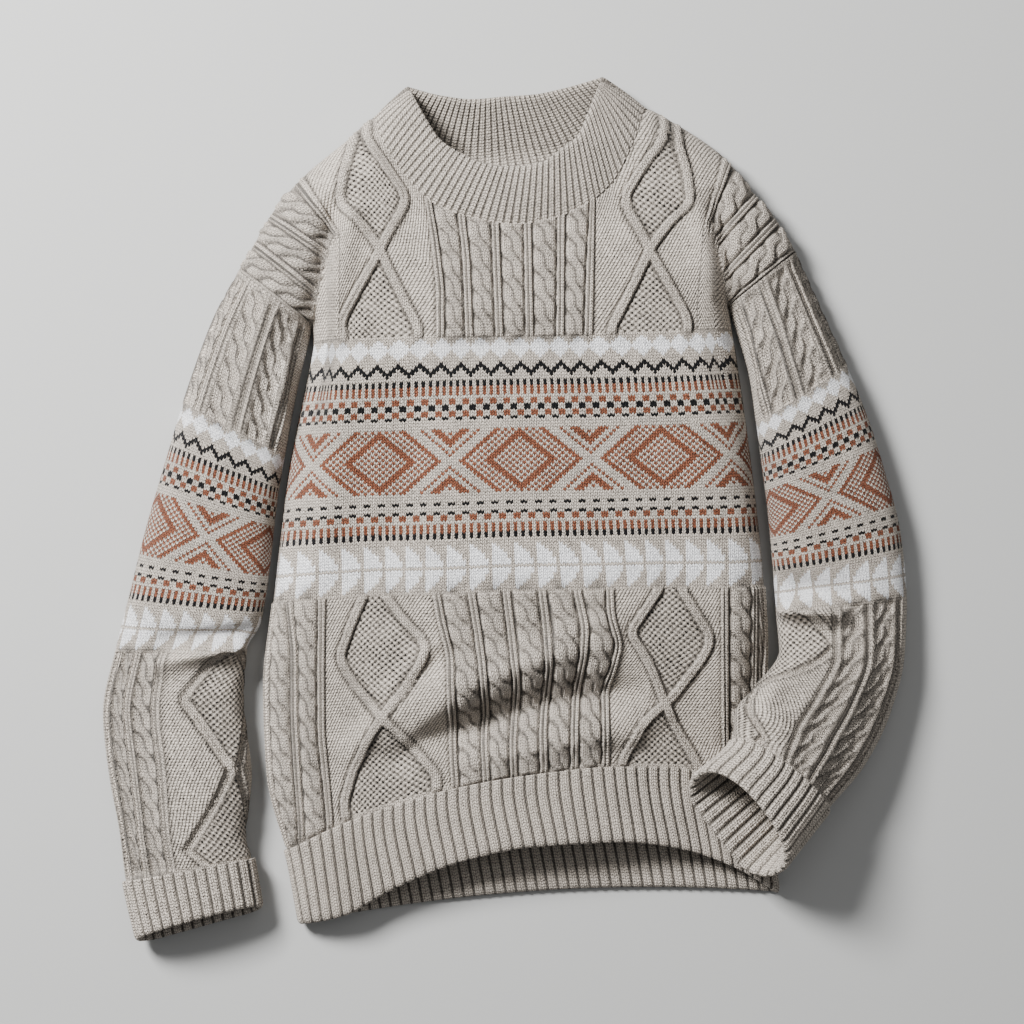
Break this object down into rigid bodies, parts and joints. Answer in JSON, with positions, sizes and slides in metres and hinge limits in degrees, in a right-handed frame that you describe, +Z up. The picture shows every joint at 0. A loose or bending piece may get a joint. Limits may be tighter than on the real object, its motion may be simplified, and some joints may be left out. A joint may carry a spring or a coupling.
{
  "type": "cable knit sweater",
  "caption": "Cable knit crew neck sweater with a patterned colour band, ribbed collar, turned-up hem and cuffs, laid flat on its back with one arm bent.",
  "frame": {"origin": "on the back's flat underside, under the middle of the picture", "axes": "+Y towards the neck, +X to the viewer's right as it lies, +Z up from the surface it lies on"},
  "size_m": [0.6802, 0.7284, 0.0951],
  "materials": {
    "oatmeal knit": "matte knitted wool"
  },
  "bodies": {
    "root": {"back": "oatmeal knit", "collar": "oatmeal knit", "cuff_left": "oatmeal knit", "cuff_right": "oatmeal knit", "front": "oatmeal knit", "hem_back": "oatmeal knit", "hem_front": "oatmeal knit", "sleeve_left": "oatmeal knit", "sleeve_right": "oatmeal knit"}
  },
  "joints": []
}
